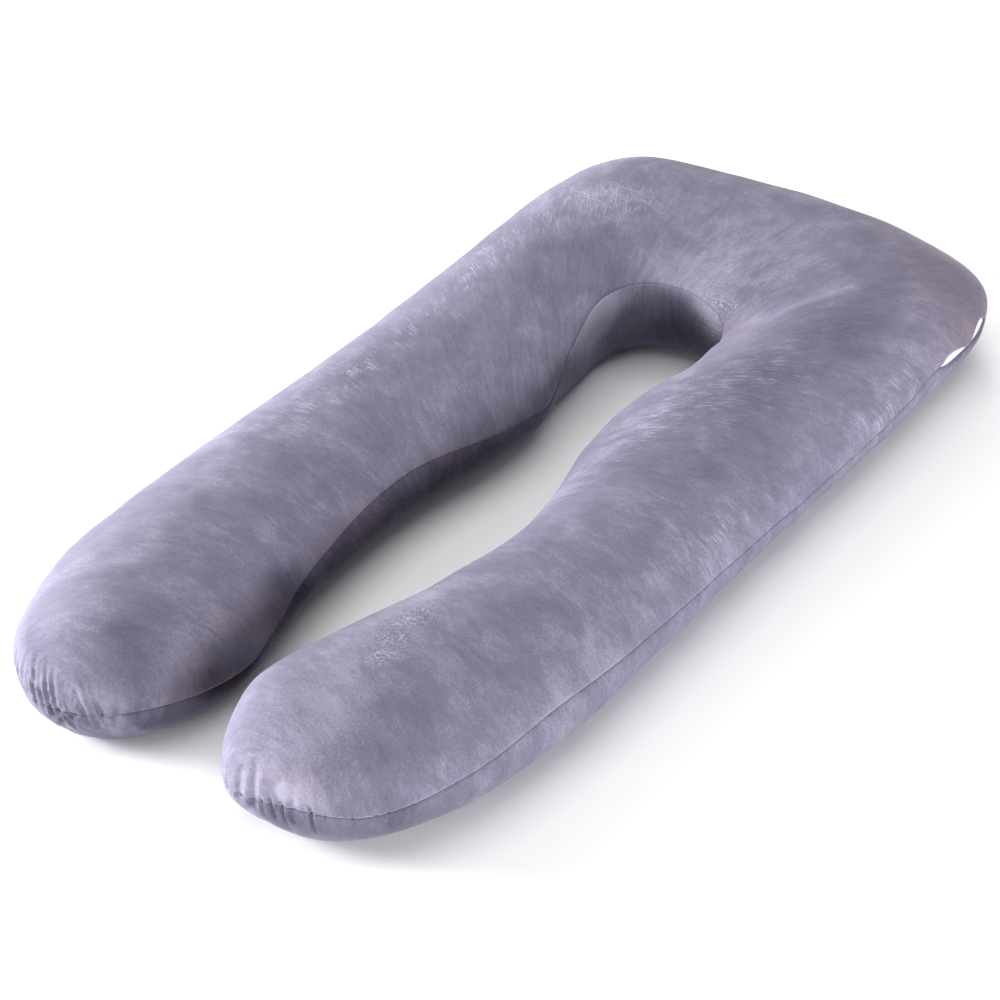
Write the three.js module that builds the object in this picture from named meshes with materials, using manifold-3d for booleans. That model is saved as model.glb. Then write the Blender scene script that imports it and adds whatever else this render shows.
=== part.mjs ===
// A U-shaped full-body pillow: one long stuffed tube of short velvet, bent round so that its two
// legs lie side by side and all but close at their feet. Its cover is a top and a bottom panel, sewn
// together at one seam that runs level all the way round, apart from the head's end of the gap, where
// it climbs to the rim of the arch. Near the head's right corner the seam is left open for a hand's
// width, and the plain white inner casing shows there.
//
// Millimetres. +Z is up, +Y points to the closed head, +X to the right leg, and the pillow lies on
// Z = 0 with the middle of its bounding box over the origin.
import * as THREE from 'three';
import { mergeVertices } from 'three/addons/utils/BufferGeometryUtils.js';
import Module from 'manifold-3d';

// Driving sizes
const SEAM_HEIGHT = 68; // the seam's height above the surface the pillow lies on
const TIP_ROUNDING = 102; // a leg narrower than this on each side of its middle sinks to the seam
const FLAT_SHARE = 0.5; // the share of a section's half width that lies flat underneath
const MESH = { stations: 96, around: 40, fine: 200 };

// How full the stuffing makes a section: the powers in (distance from the middle)^span +
// (height)^rise = 1, where 2 and 2 are an ellipse. A larger span stands the side up, and a larger
// rise tightens its turn into the rim.
const FULLNESS = {
  outerSide: { span: 1.85, rise: 1.85 },
  innerSide: { span: 1.95, rise: 1.95 },
  underside: { span: 1.7, rise: 1.7 },
  archWall: { span: 3, rise: 2.2 }, // the underside's own wall round the arch
};

// How far the inner seam climbs round the arch, and the places, in sections from the left foot,
// between which it climbs and between which it sinks back.
const ARCH = { climb: 74, climbFrom: 7.3, climbTo: 9.5, sinkFrom: 12, sinkTo: 14.6 };

// Sections straight across the tube, from the left foot up its leg, round the head and down to the
// right foot. outerX, outerY and innerX, innerY are where a section meets the seam, crest is its top.
const SECTIONS = [
  { outerX: -155, outerY: -725, innerX: -75, innerY: -700, crest: 195 }, // left foot
  { outerX: -235, outerY: -690, innerX: -5, innerY: -565, crest: 170 },
  { outerX: -300, outerY: -565, innerX: -20, innerY: -465, crest: 160 },
  { outerX: -325, outerY: -395, innerX: -45, innerY: -355, crest: 145 },
  { outerX: -330, outerY: -215, innerX: -55, innerY: -205, crest: 145 },
  { outerX: -330, outerY: -10, innerX: -50, innerY: -115, crest: 150 },
  { outerX: -335, outerY: 155, innerX: -35, innerY: -20, crest: 160 },
  { outerX: -340, outerY: 315, innerX: -35, innerY: 75, crest: 175 }, // left side of the neck
  { outerX: -345, outerY: 460, innerX: -50, innerY: 135, crest: 180 },
  { outerX: -330, outerY: 595, innerX: -60, innerY: 200, crest: 180 },
  { outerX: -280, outerY: 675, innerX: -70, innerY: 270, crest: 175 }, // head's left corner
  { outerX: -140, outerY: 710, innerX: -50, innerY: 325, crest: 170 },
  { outerX: 0, outerY: 730, innerX: 0, innerY: 345, crest: 170 }, // middle of the head
  { outerX: 160, outerY: 725, innerX: 80, innerY: 335, crest: 175 },
  { outerX: 290, outerY: 690, innerX: 105, innerY: 280, crest: 175 }, // head's right corner
  { outerX: 330, outerY: 615, innerX: 95, innerY: 215, crest: 180 },
  { outerX: 340, outerY: 475, innerX: 80, innerY: 150, crest: 175 },
  { outerX: 345, outerY: 330, innerX: 65, innerY: 95, crest: 175 }, // right side of the neck
  { outerX: 345, outerY: 160, innerX: 70, innerY: 10, crest: 160 },
  { outerX: 345, outerY: 0, innerX: 95, innerY: -80, crest: 155 },
  { outerX: 350, outerY: -210, innerX: 105, innerY: -175, crest: 145 },
  { outerX: 350, outerY: -390, innerX: 80, innerY: -325, crest: 140 },
  { outerX: 325, outerY: -545, innerX: 50, innerY: -465, crest: 160 },
  { outerX: 265, outerY: -650, innerX: 40, innerY: -580, crest: 175 },
  { outerX: 180, outerY: -685, innerX: 105, innerY: -695, crest: 200 }, // right foot
];

// The opening in the seam, between two places counted in sections from the left foot. It gapes in
// two lenses that meet where the lips are pinched together at its middle.
const OPENING = { from: 14.7, to: 15.95, gape: 13, pinch: 3, depth: 24, steps: 24 };
const CASING_RECESS = 3; // the white casing's gap to the lips in front, and to the cut's ends and back
const CLEARANCE = 0.5; // between the casing and the cover above and below it

const VELVET = new THREE.MeshStandardMaterial({ color: 0x8f8aa3, roughness: 0.95, metalness: 0 });
const WHITE_COTTON = new THREE.MeshStandardMaterial({ color: 0xf2f1f0, roughness: 0.9, metalness: 0 });

// The seam as one closed smooth curve: up the outer edge of every section and back along the inner
// edges. Each point carries its section's crest as its Z, so that the crest changes smoothly too.
const outerEdge = SECTIONS.map(({ outerX, outerY, crest }) => new THREE.Vector3(outerX, outerY, crest));
const innerEdge = SECTIONS.map(({ innerX, innerY, crest }) => new THREE.Vector3(innerX, innerY, crest));
const seam = new THREE.CatmullRomCurve3([...outerEdge, ...innerEdge.reverse()], true, 'centripetal');
const lastSection = SECTIONS.length - 1;
const seamLength = 2 * SECTIONS.length;

function seamPoint(place) {
  return seam.getPoint(THREE.MathUtils.euclideanModulo(place, seamLength) / seamLength);
}

// The section at any place between the two tips, -0.5 and lastSection + 0.5, where it is a point:
// its ends on the seam, half its width, its crest, and how much it is part of the arch.
function sectionAt(place) {
  const outer = seamPoint(place);
  const inner = seamPoint(seamLength - 1 - place);
  const crest = (outer.z + inner.z) / 2;
  const climbing = THREE.MathUtils.smoothstep(place, ARCH.climbFrom, ARCH.climbTo);
  const arch = climbing * (1 - THREE.MathUtils.smoothstep(place, ARCH.sinkFrom, ARCH.sinkTo));
  outer.z = SEAM_HEIGHT;
  inner.z = SEAM_HEIGHT;
  const halfWidth = outer.distanceTo(inner) / 2;
  inner.z += ARCH.climb * arch;
  return { outer, inner, halfWidth, crest, arch };
}

// Places of the stations, drawn closer together towards the two tips.
function stationPlace(share) {
  const x = 2 * share - 1;
  const spread = 0.7 * x + 0.3 * Math.sin((x * Math.PI) / 2);
  return lastSection / 2 + (spread * (lastSection + 1)) / 2;
}

// Height of a section of this fullness over a point at this share of the way from its middle.
function crown(share, { span, rise }) {
  return (1 - Math.min(share, 1) ** span) ** (1 / rise);
}

function mixFullness(from, to, share) {
  return {
    span: THREE.MathUtils.lerp(from.span, to.span, share),
    rise: THREE.MathUtils.lerp(from.rise, to.rise, share),
  };
}

// A point of a section's skin: angle 0 is the outer edge, a quarter turn the crest, half a turn the
// inner edge, and the rest the underside.
function skinPoint({ outer, inner, halfWidth, crest, arch }, angle) {
  const across = Math.cos(angle);
  const point = inner.clone().lerp(outer, (1 + across) / 2);
  const reach = halfWidth / (halfWidth ** 6 + TIP_ROUNDING ** 6) ** (1 / 6);
  const fromMiddle = Math.sqrt(1 - reach ** 2 * (1 - across ** 2));
  if (Math.sin(angle) >= 0) {
    const side = mixFullness(FULLNESS.innerSide, FULLNESS.outerSide, (1 + across) / 2);
    point.z += (crest - point.z) * crown(fromMiddle, side);
  } else {
    const pastFlat = Math.max(0, (fromMiddle - FLAT_SHARE) / (1 - FLAT_SHARE));
    const [end, wall] = across < 0 ? [inner, arch] : [outer, 0];
    point.z = end.z * (1 - crown(pastFlat, mixFullness(FULLNESS.underside, FULLNESS.archWall, wall)));
  }
  return point;
}

// Shares from 0 to 1, drawn closer together towards both ends by more or less.
function crowd(share, amount) {
  return share - (amount * Math.sin(2 * Math.PI * share)) / (2 * Math.PI);
}

// Half of a section's ring, from one seam to just before the other. Its points are spread evenly over
// its length, but a little closer together at the seams.
function panelPoints(section, startAngle) {
  const fine = [];
  const run = [0];
  for (let step = 0; step <= MESH.fine; step++) {
    fine.push(skinPoint(section, startAngle + Math.PI * crowd(step / MESH.fine, 1)));
    if (step > 0) run.push(run[step - 1] + fine[step].distanceTo(fine[step - 1]));
  }
  const points = [];
  let at = 0;
  for (let step = 0; step < MESH.around / 2; step++) {
    const wanted = run[MESH.fine] * crowd((2 * step) / MESH.around, 0.5);
    while (at < MESH.fine - 1 && run[at + 1] < wanted) at++;
    const share = (wanted - run[at]) / Math.max(run[at + 1] - run[at], 1e-9);
    points.push(fine[at].clone().lerp(fine[at + 1], share));
  }
  return points;
}

// Closed skin through rings of points, with each end brought to a single point or capped flat.
function loftRings(rings) {
  const count = rings[0].length;
  const points = rings.flat();
  const index = [];
  for (let ring = 0; ring < rings.length - 1; ring++) {
    for (let step = 0; step < count; step++) {
      const a = ring * count + step;
      const b = ring * count + ((step + 1) % count);
      index.push(a, b, b + count, a, b + count, a + count);
    }
  }
  const lastRing = (rings.length - 1) * count;
  for (let step = 1; step < count - 1; step++) {
    index.push(0, step + 1, step);
    index.push(lastRing, lastRing + step, lastRing + step + 1);
  }
  return closedGeometry(new THREE.BufferGeometry().setFromPoints(points), index);
}

// Merge the points that coincide and drop the triangles which that leaves without an area.
function closedGeometry(geometry, index) {
  geometry.setIndex(index);
  const merged = mergeVertices(geometry, 1e-3);
  const kept = [];
  const corners = merged.getIndex().array;
  for (let at = 0; at < corners.length; at += 3) {
    const [a, b, c] = corners.slice(at, at + 3);
    if (a !== b && b !== c && c !== a) kept.push(a, b, c);
  }
  merged.setIndex(kept);
  return merged;
}

function filledPillow() {
  const rings = [];
  for (let station = 0; station <= MESH.stations; station++) {
    const section = sectionAt(stationPlace(station / MESH.stations));
    rings.push([...panelPoints(section, 0), ...panelPoints(section, Math.PI)]);
  }
  return loftRings(rings);
}

// A strip along the opening: its gape is cut from beyond the seam to a depth inside it, and a
// strip that lies in that cut is shorter by a gap at its ends and back, and thinner by its clearance.
function openingStrip(beyondSeam, gap, clearance) {
  const { from, to, gape, pinch, depth, steps } = OPENING;
  const run = sectionAt(from).outer.distanceTo(sectionAt(to).outer);
  const rings = [];
  for (let step = 0; step <= steps; step++) {
    const share = THREE.MathUtils.lerp(gap / run, 1 - gap / run, step / steps);
    const { outer, inner } = sectionAt(THREE.MathUtils.lerp(from, to, share));
    const height = pinch + (gape - pinch) * Math.abs(Math.sin(2 * Math.PI * share));
    const inward = inner.clone().sub(outer).normalize();
    const front = outer.clone().addScaledVector(inward, -beyondSeam);
    const back = outer.clone().addScaledVector(inward, depth - gap);
    const low = new THREE.Vector3(0, 0, clearance);
    const high = new THREE.Vector3(0, 0, height - clearance);
    const corners = [[front, low], [front, high], [back, high], [back, low]];
    rings.push(corners.map(([end, rise]) => end.clone().add(rise)));
  }
  return loftRings(rings);
}

const wasm = await Module();
wasm.setup();

function toSolid(geometry) {
  return new wasm.Manifold(
    new wasm.Mesh({
      numProp: 3,
      vertProperties: Float32Array.from(geometry.getAttribute('position').array),
      triVerts: Uint32Array.from(geometry.getIndex().array),
    }),
  );
}

function toGeometry(solid) {
  const { vertProperties, triVerts } = solid.getMesh();
  const geometry = new THREE.BufferGeometry();
  geometry.setAttribute('position', new THREE.BufferAttribute(vertProperties, 3));
  geometry.setIndex(new THREE.BufferAttribute(triVerts, 1));
  return geometry;
}

function addMesh(parent, name, geometry, material) {
  geometry.computeVertexNormals();
  const mesh = new THREE.Mesh(geometry, material);
  mesh.name = name;
  parent.add(mesh);
  return mesh;
}

const beyondCover = 20;
const pillow = toSolid(filledPillow()).subtract(toSolid(openingStrip(beyondCover, 0, 0)));

const group = new THREE.Group();
const cover = addMesh(group, 'velvet_pillow', toGeometry(pillow), VELVET);
addMesh(group, 'inner_casing', openingStrip(-CASING_RECESS, CASING_RECESS, CLEARANCE), WHITE_COTTON);

// Bring the middle of the pillow's bounding box over the origin, with its underside on Z = 0.
const box = new THREE.Box3().setFromObject(cover);
const middle = box.getCenter(new THREE.Vector3());
group.position.set(-middle.x, -middle.y, -box.min.z);

export default group;
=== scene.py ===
"""A U-shaped full-body pillow of grey lavender velvet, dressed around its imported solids.

The filled cover is one closed skin. It is worked out as a surface of two parameters, the place along
the tube and the angle round it. The seam's groove and rolls, the puckers, creases and dents move it
along its normals, and a cloth simulation under pressure gathers what is spare at the feet. The white
inner casing is a second small skin. Sizes are millimetres in the tables and metres in the meshes.
"""
import math
from collections import namedtuple

import bpy
import numpy as np
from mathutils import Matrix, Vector


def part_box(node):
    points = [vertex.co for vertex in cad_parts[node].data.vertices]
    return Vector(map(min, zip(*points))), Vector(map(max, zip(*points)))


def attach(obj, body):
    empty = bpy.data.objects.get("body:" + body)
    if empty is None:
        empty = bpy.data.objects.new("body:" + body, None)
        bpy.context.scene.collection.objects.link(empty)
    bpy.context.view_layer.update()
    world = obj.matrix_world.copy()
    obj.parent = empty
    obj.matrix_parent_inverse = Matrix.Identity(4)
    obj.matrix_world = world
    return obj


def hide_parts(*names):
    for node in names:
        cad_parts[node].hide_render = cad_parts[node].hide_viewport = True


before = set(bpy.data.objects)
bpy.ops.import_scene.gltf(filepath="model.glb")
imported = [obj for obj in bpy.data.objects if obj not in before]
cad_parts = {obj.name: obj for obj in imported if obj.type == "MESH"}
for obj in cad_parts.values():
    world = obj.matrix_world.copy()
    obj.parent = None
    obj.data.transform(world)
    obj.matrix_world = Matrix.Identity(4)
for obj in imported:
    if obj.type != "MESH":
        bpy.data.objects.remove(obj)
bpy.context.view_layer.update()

MM = 0.001
TURN = 2 * math.pi
TINY = 1e-9  # keeps a division away from zero


def table(kind, *rows):
    """Rows of values with the names of their columns."""
    return tuple(kind(*row) for row in rows)


# ---- Sizes of the filled cover, the same ones as the solid's ----

SEAM_HEIGHT = 68
TIP_ROUNDING = 102  # a leg narrower than this on each side of its middle sinks to the seam
TIP_POWER = 6  # how suddenly it does
FLAT_SHARE = 0.5  # the share of a section's half width that lies flat underneath

# How full the stuffing makes a section: the powers in (distance from the middle)^span + (height)^rise
# = 1. A larger span stands the side up, and a larger rise tightens its turn into the rim.
Fullness = namedtuple("Fullness", "span rise")
OUTER_SIDE, INNER_SIDE = Fullness(1.85, 1.85), Fullness(1.95, 1.95)
UNDERSIDE, ARCH_WALL = Fullness(1.7, 1.7), Fullness(3, 2.2)

# How far the inner seam climbs round the arch at the head's end of the gap, and the places, in
# sections from the left foot, between which it climbs and between which it sinks back
ARCH_CLIMB = 74
CLIMB_FROM, CLIMB_TO, SINK_FROM, SINK_TO = 7.3, 9.5, 12, 14.6

# Sections across the tube from the left foot round the head to the right foot:
# outer x, outer y, inner x, inner y, crest
SECTIONS = np.array([
    (-155, -725, -75, -700, 195),  # left foot
    (-235, -690, -5, -565, 170),
    (-300, -565, -20, -465, 160),
    (-325, -395, -45, -355, 145),
    (-330, -215, -55, -205, 145),
    (-330, -10, -50, -115, 150),
    (-335, 155, -35, -20, 160),
    (-340, 315, -35, 75, 175),  # left side of the neck
    (-345, 460, -50, 135, 180),
    (-330, 595, -60, 200, 180),
    (-280, 675, -70, 270, 175),  # head's left corner
    (-140, 710, -50, 325, 170),
    (0, 730, 0, 345, 170),  # middle of the head
    (160, 725, 80, 335, 175),
    (290, 690, 105, 280, 175),  # head's right corner
    (330, 615, 95, 215, 180),
    (340, 475, 80, 150, 175),
    (345, 330, 65, 95, 175),  # right side of the neck
    (345, 160, 70, 10, 160),
    (345, 0, 95, -80, 155),
    (350, -210, 105, -175, 145),
    (350, -390, 80, -325, 140),
    (325, -545, 50, -465, 160),
    (265, -650, 40, -580, 175),
    (180, -685, 105, -695, 200),  # right foot
], float)
LAST = len(SECTIONS) - 1
LEFT_TIP, RIGHT_TIP = -0.5, LAST + 0.5

# ---- Sizes of what the cloth and the sewing add ----

# The seam, all round
CREASE_DEPTH, CREASE_WIDTH = 0.9, 2.8  # how far the two panels roll in to the stitching
ROLL_HEIGHT, ROLL_WIDTH = 1.1, 13  # the soft roll on each side of it
GROOVE_DEPTH = 1.6  # from the panels' edges in to the stitches
STITCH_GAP = 0.22  # between the panels' edges where they are sewn
SEAM_HIGHLIGHT_WIDTH = 2.0  # width of the painted highlight along the top panel's edge at the outer seam
WIDENING = 0.5  # how much wider than that gap the groove is inside
DEEPEST_SHARE, WIDEST_SHARE = 0.4, 0.1  # most that both may be of the tube's width, for its thin tips
ARCH_LOOSE = 0.9  # share of the stitching's pull that the arch's rim is spared

# Where the stuffing has turned the tube, the seam lies this far above the tube's widest line
Rise = namedtuple("Rise", "place above")
OUTER_RISE = table(Rise, (15.4, 0), (15.8, 3), (16.05, 13), (16.6, 6), (17.6, 4), (18.6, 7), (19.4, 12),
                   (20.2, 18), (21.1, 25), (21.9, 20), (22.6, 11), (23.6, 4), (24.4, 0))
INNER_RISE = table(Rise, (1.5, 0), (2.5, 15), (3.1, 21), (3.8, 29), (4.6, 30), (5.4, 24), (6.4, 14),
                   (7.4, 0))

# The open stretch of the seam, in sections from the left foot, where the white casing shows
OPEN_FROM, OPEN_TO = 14.75, 16.05
CORNER_GAPE = 0.4  # by how much the lens at the corner is wider
GAPE, PINCH = 15, 2  # height of the two lenses, and of the pinch between them
LENS_POWER = 1.1  # how pointed their ends are
LEFT_END, RIGHT_END = 0.06, 0.2  # shares of the open stretch over which it shuts at its ends
SAG = 0.28  # share of that height by which the lower lip has dropped
LIP_POWER = 12  # how close to the edge of the base panel that drop stays
POCKET_DEPTH, POCKET_WIDENING = 24, 3
POCKET_GAPE = 5  # how far the lips are apart where the pocket has its whole depth

# The casing's strip behind the lips
CASING_INSET, CASING_SPREAD = 12.5, 9.5  # how far in its middle lies, and how far it spreads from there
CASING_OVERLAP, OVERLAP_GAPE = 1.6, 4  # how far it goes past the lips, once they are this far apart
BOX_LEVEL, BOX_UPRIGHT = 0.7, 0.8  # powers that make its section a rounded box
CASING_ROWS, CASING_COLUMNS = 120, 40

# Puckers at the feet. at is the run of seam from the foot's tip, outwards above 0 and inwards below
# it; up and down are how far the pucker reaches above and below the seam; lean is how far it drifts
# along the seam for each millimetre up.
Pucker = namedtuple("Pucker", "at up down width depth lean")
LEFT_PUCKERS = table(Pucker,
    (-64, 26, 12, 4.5, 0.8, 0.1),
    (-42, 74, 26, 3.6, 2.2, 0.28),
    (-33, 70, 28, 3.4, 1.9, 0.26),
    (-22, 46, 24, 3.8, 2.0, 0.25),
    (-4, 24, 16, 3.0, 0.9, 0.2),
    (13, 66, 20, 4.2, 2.2, 0.14),
    (24, 76, 18, 3.6, 2.4, 0.12),
    (33, 48, 20, 3.0, 1.8, 0.16),
    (48, 74, 16, 4.2, 2.5, 0.06),
    (60, 38, 14, 2.8, 1.6, 0.04),
    (74, 58, 12, 3.6, 2.1, -0.04),
    (90, 30, 10, 3.0, 1.3, -0.06),
    (104, 36, 10, 3.4, 1.2, -0.1),
)
RIGHT_PUCKERS = table(Pucker,
    (-52, 20, 8, 2.6, 1.2, 0.0),
    (-40, 26, 10, 2.8, 1.8, 0.05),
    (-30, 24, 10, 2.6, 1.6, 0.05),
    (-12, 60, 12, 6.0, 1.3, 0.1),
    (6, 78, 20, 6.5, 1.7, 0.1),
    (16, 12, 30, 2.4, 2.4, 0.0),
    (27, 13, 36, 2.6, 3.6, -0.1),
    (41, 11, 36, 2.8, 3.6, -0.08),
    (54, 30, 14, 5.0, 0.9, 0.05),
    (76, 14, 42, 2.6, 4.0, -0.05),
    (92, 8, 14, 2.2, 1.0, 0.0),
    (122, 8, 16, 2.4, 1.5, 0.0),
    (148, 8, 20, 3.0, 1.8, 0.2),
    (162, 6, 22, 3.0, 1.9, 0.2),
    (176, 6, 18, 2.8, 1.4, 0.2),
    (232, 16, 8, 3.4, 0.9, 0.0),
    (286, 18, 8, 3.4, 0.9, 0.0),
)
PUCKER_SPREAD = 0.5  # share by which a pucker is wider at its end
FOOT_REACH = 500  # run of seam from a foot's tip that can have puckers

# The cloth that is simulated
SPARE_CLOTH = 0.07  # share by which the panels are fuller than the seam that gathers them
SPARE_REACH = (18, 62)  # how far from the seam that fullness starts and stops fading
SPARE_RUN = (70, 150)  # how far from a foot's tip it does
RIGHT_SPARE = 0.55  # the right foot's fullness to the left one's
CALM = 0.08  # share of the wrinkles that stays where no cloth is spare
LARGEST_MOVE = 14  # no point is blown further than this
LYING = 4  # cloth lower than this stays on the ground
BROAD_PASSES = 24  # rounds of smoothing that leave only the swelling's broad part
SWELLING_FRAMES = 20
CLOTH_SETTINGS = {
    "quality": 5, "mass": 0.3, "tension_stiffness": 15, "compression_stiffness": 15,
    "shear_stiffness": 5, "bending_stiffness": 0.1, "vertex_group_mass": "fixed", "use_pressure": True,
    "uniform_pressure_force": 4, "vertex_group_shrink": "taut", "shrink_min": -SPARE_CLOTH,
    "shrink_max": 0,
}

# Thin creases pressed into the top, from one end to the other
Crease = namedtuple("Crease", "x0 y0 x1 y1 width depth")
CREASES = table(Crease,
    (-218, -428, -150, -404, 3.0, 0.9),
    (-208, -474, -162, -470, 3.0, 0.8),
    (138, -392, 164, -358, 2.6, 1.0),
    (164, -358, 174, -322, 2.6, 0.9),
)
CREASE_END = 6  # how far each end of a crease takes to fade

# The stuffing's unevenness: how many waves, how steep they can be, how long, and how high each is
WAVES, WAVE_PITCH, WAVE_LENGTH, WAVE_HEIGHT = 8, 0.6, (70, 170), 0.2
STUFFING_SEED = 7
GROUND_FADE = (2, 14)  # heights between which the flat base takes on what the cloth adds

# Soft patches that fade out all round: their middle, their length along a heading in degrees, their
# width across it and their amount
Patch = namedtuple("Patch", "x y z length width heading amount")
HOLLOWS = table(Patch,  # millimetres deep, and humps below 0
    (-42, -426, 100, 34, 22, 60, 5.0),
    (-18, -520, 96, 30, 20, 70, 2.5),
    (-62, -335, 100, 40, 22, 80, -1.8),
    (245, -560, 145, 60, 40, 60, 1.2),
    (100, 280, 120, 44, 40, 60, -17.0),
)
NAP_AND_PAINTED_LIGHT = table(Patch,  # pile brushed towards the light and away from it below 0, and with it painted light, and painted shade below 0: light on the tops and rims, shade in dents, on inner walls and round the arch
    # left leg
    (-185, 230, 175, 120, 55, 70, -0.35),
    (-218, 3, 150, 90, 50, 88, -0.45),
    (-288, 266, 144, 100, 45, 90, -0.35),
    (-285, -458, 117, 100, 45, 95, -0.4),
    (-150, -300, 140, 120, 60, 90, -0.25),
    (-142, 100, 162, 60, 35, 85, -0.3),
    (-217, -303, 140, 50, 40, 90, -0.25),
    (-54, 134, 110, 50, 24, 80, 0.35),
    (-238, -85, 142, 100, 36, 90, -0.35),
    (-155, -10, 151, 60, 35, 90, -0.3),
    (-105, 255, 162, 70, 30, 80, -0.3),
    (-50, -40, 101, 70, 20, 90, -0.5),
    (-89, -337, 119, 45, 25, 80, 0.2),
    (-62, -330, 100, 50, 20, 85, -0.35),
    (-25, -475, 94, 40, 20, 70, -0.4),
    (-36, -435, 95, 46, 30, 85, -1.3),
    (-10, -590, 82, 55, 24, 105, -1.2),
    # left foot
    (-32, -617, 119, 45, 25, 110, 0.5),
    (-165, -640, 160, 70, 50, 30, -0.2),
    (-67, -657, 144, 35, 30, 30, -0.3),
    (-80, -695, 95, 55, 26, 20, 0.6),
    (-185, -701, 126, 45, 25, 150, -0.6),
    (-152, -724, 85, 30, 25, 0, 0.1),
    (-125, -719, 98, 30, 22, 0, -0.35),
    # head
    (-190, 425, 178, 60, 50, 20, 0.35),
    (-144, 456, 172, 40, 30, 0, -0.3),
    (10, 392, 156, 80, 60, 60, 0.3),
    (110, 345, 140, 40, 30, 60, 0.2),
    (45, 354, 145, 45, 24, 0, 0.45),
    (5, 647, 152, 70, 30, 0, 0.3),
    (250, 612, 150, 110, 60, 0, -0.4),
    (330, 600, 110, 60, 60, 90, -0.3),
    # right leg
    (200, 60, 155, 190, 40, 85, -0.2),
    (240, 370, 172, 90, 45, 80, -0.45),
    (235, 175, 165, 70, 45, 85, -0.5),
    (284, 294, 153, 70, 45, 90, -0.3),
    (281, 15, 140, 60, 40, 90, -0.3),
    (205, -200, 139, 60, 40, 90, -0.2),
    (225, -336, 137, 60, 40, 90, -0.3),
    (337, -50, 94, 60, 28, 90, 0.3),
    (327, 45, 110, 50, 30, 90, -0.35),
    (330, -400, 100, 130, 28, 90, 0.1),
    (341, 310, 89, 80, 28, 90, 0.05),
    (122, -142, 107, 60, 25, 90, 0.3),
    # right foot
    (112, -385, 120, 60, 34, 80, 0.45),
    (182, -618, 162, 60, 45, 80, 0.5),
    (255, -610, 131, 50, 35, 40, -0.4),
    (173, -560, 164, 50, 36, 80, 0.25),
    (148, -693, 84, 34, 24, 0, 0.6),
    (164, -683, 120, 28, 20, 0, 0.3),
    (196, -678, 92, 34, 24, 20, 0.8),
)
BASE_PAINTED_LIGHT_AND_SHADE = table(Patch,  # painted light, and painted shade below 0, on the base panel alone: shade along the inner walls, low in the arch and under the feet, light on the arch's walls
    (-45, -60, 50, 190, 70, 92, -1.5),
    (-40, -330, 50, 190, 70, 88, -1.6),
    (-30, -560, 40, 70, 60, 100, -1.3),
    (-65, -688, 55, 30, 30, 40, 0.6),
    (-69, 250, 113, 50, 34, 90, 2.4),
    (59, 345, 98, 24, 26, 0, 1.3),
    (-5, -562, 64, 40, 22, 90, -0.8),
    (184, -684, 55, 32, 28, 20, -0.7),
    (0, 340, 60, 60, 60, 0, -1.5),
    (90, 300, 70, 60, 60, 120, -1.5),
    (45, 347, 118, 30, 20, 0, 0.8),
    (290, -610, 47, 60, 40, 55, -0.8),
    (-128, -722, 60, 24, 20, 0, -0.9),
    (-38, -662, 45, 34, 26, 45, -0.9),
    (-60, 192, 100, 35, 28, 90, 0.7),
)
STREAKED = table(Patch,  # where the light catches single rows of crushed pile
    (-225, -60, 145, 260, 42, 88, 1.0),
    (-235, 270, 170, 120, 45, 80, 0.9),
    (-180, 430, 178, 70, 60, 30, 1.0),
    (150, 60, 145, 150, 50, 75, 1.0),
    (230, 210, 170, 110, 45, 80, 0.8),
    (60, 400, 155, 80, 60, 50, 0.6),
    (320, -60, 105, 130, 40, 88, 0.7),
    (338, 330, 95, 110, 36, 90, 0.7),
)
STROKED = table(Patch,  # where a hand has wiped across the pile from side to side
    (-165, 468, 178, 62, 24, -6, 0.8),
    (-205, 420, 176, 50, 20, 10, 0.7),
)
CRUMBLED = table(Patch,  # where the pile stands up in crumbs
    (152, -425, 138, 22, 13, 55, 1.0),
    (160, -465, 149, 26, 15, 65, 0.9),
    (176, -503, 157, 22, 13, 60, 0.8),
    (138, -400, 133, 20, 14, 60, 0.7),
    (59, 346, 104, 26, 24, 0, 0.9),
    (-226, -75, 144, 26, 14, 30, 0.7),
    (70, 352, 144, 24, 10, 0, 0.8),
)
WARM_CASTS_AND_SHADE_TINT = table(Patch,  # faint beige and rose casts, and a warm tint painted into the shade on the left leg's inner walls and low in the arch
    (187, -680, 112, 26, 14, 0, 0.5),
    (-22, -500, 96, 60, 30, 70, 0.8),
    (-8, -585, 84, 45, 28, 100, 0.7),
    (-45, -250, 50, 330, 60, 90, 0.5),
    (60, 310, 50, 90, 80, 0, 0.5),
    (40, 690, 120, 220, 55, 0, 0.8),
    (290, 610, 120, 120, 75, 120, 0.8),
)

# ---- The skin as a surface ----


def closed_curve(points, place):
    """Centripetal Catmull-Rom curve through the closed row of points. place counts in points, and
    each stretch between two points is a cubic whose end slopes follow the root of the distances."""
    whole = np.floor(place).astype(int)
    part = (place - whole)[:, None]
    before, start, end, after = (points[(whole + step) % len(points)] for step in (-1, 0, 1, 2))

    def root_distance(a, b):
        return np.maximum(np.sum((a - b) ** 2, 1) ** 0.25, TINY)[:, None]

    d0, d1, d2 = root_distance(before, start), root_distance(start, end), root_distance(end, after)
    leave = ((start - before) / d0 - (end - before) / (d0 + d1) + (end - start) / d1) * d1
    arrive = ((end - start) / d1 - (after - start) / (d1 + d2) + (after - end) / d2) * d1
    return (start + leave * part + (3 * (end - start) - 2 * leave - arrive) * part ** 2
            + (2 * (start - end) + leave + arrive) * part ** 3)


def smooth_step(low, high, value):
    """0 up to the low value, 1 from the high one, and 3 share^2 - 2 share^3 between them."""
    share = np.clip((value - low) / (high - low), 0, 1)
    return share * share * (3 - 2 * share)


def mixed(start, end, share):
    """The value at a share of the straight way from the start to the end."""
    return start + (end - start) * share


def arch_share(place):
    """How much each place is part of the arch, from 0 to 1."""
    return smooth_step(CLIMB_FROM, CLIMB_TO, place) * (1 - smooth_step(SINK_FROM, SINK_TO, place))


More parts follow.
